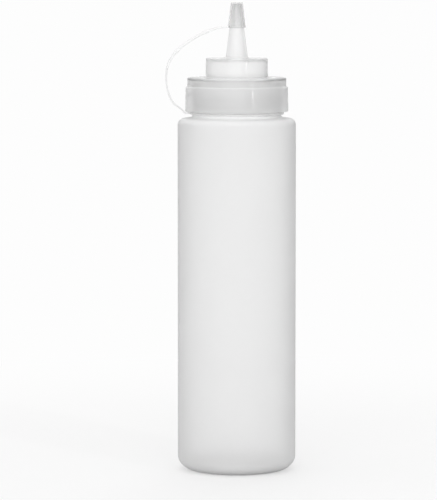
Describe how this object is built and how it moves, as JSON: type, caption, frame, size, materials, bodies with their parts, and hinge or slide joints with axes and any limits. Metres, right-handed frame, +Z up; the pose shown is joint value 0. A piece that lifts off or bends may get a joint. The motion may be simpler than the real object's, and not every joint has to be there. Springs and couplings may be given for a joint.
{
  "type": "squeeze sauce bottle",
  "caption": "Tall round squeeze bottle with a threaded neck, a screw lid with a tapered pouring spout, and a pull-off tip cap on a springy tether strap.",
  "frame": {"origin": "middle of the bottle's base, on the plane of its standing ring", "axes": "+Z up along the bottle's axis to the tip cap, the tether strap on the -X side"},
  "size_m": [0.0729, 0.066, 0.262],
  "materials": {
    "body_plastic": "milky translucent low-density polyethylene, fine matt",
    "lid_plastic": "cloudy translucent polyethylene, satin gloss",
    "washer_foam": "closed-cell foam, matt white",
    "tether_plastic": "clear-white flexible polyethylene, satin",
    "cap_plastic": "cloudy translucent polyethylene, satin gloss"
  },
  "bodies": {
    "bottle": {"bottle_body": "body_plastic"},
    "lid_carrier": {"sealing_washer": "washer_foam"},
    "lid": {"screw_lid": "lid_plastic"},
    "tether": {"tether_ring": "tether_plastic"},
    "strap": {"strap_lower": "tether_plastic"},
    "cap": {"tip_cap": "cap_plastic", "strap_upper": "tether_plastic"}
  },
  "joints": [
    {"name": "lid_lift", "type": "slide", "parent": "bottle", "child": "lid_carrier", "axis": [0, 0, 1], "range_m": [0, 0.01701]},
    {"name": "lid_turn", "type": "hinge", "parent": "lid_carrier", "child": "lid", "pos_m": [0, 0, 0.21], "axis": [0, 0, 1], "range_deg": [0, 1360]},
    {"name": "tether_turn", "type": "hinge", "parent": "bottle", "child": "tether", "pos_m": [0, 0, 0.2], "axis": [0, 0, 1], "continuous": true},
    {"name": "strap_rise", "type": "slide", "parent": "tether", "child": "strap", "axis": [0, 0, 1], "range_m": [0, 0.01701], "deforming": ["strap_lower"]},
    {"name": "cap_pull", "type": "slide", "parent": "strap", "child": "cap", "axis": [0, 0, 1], "range_m": [0, 0.0135], "deforming": ["strap_upper"]}
  ],
  "couplings": [
    {"joint": "lid_lift", "follows": "lid_turn", "m_per_rad": 0.0007162},
    {"joint": "strap_rise", "follows": "lid_turn", "m_per_rad": 0.0007162}
  ]
}
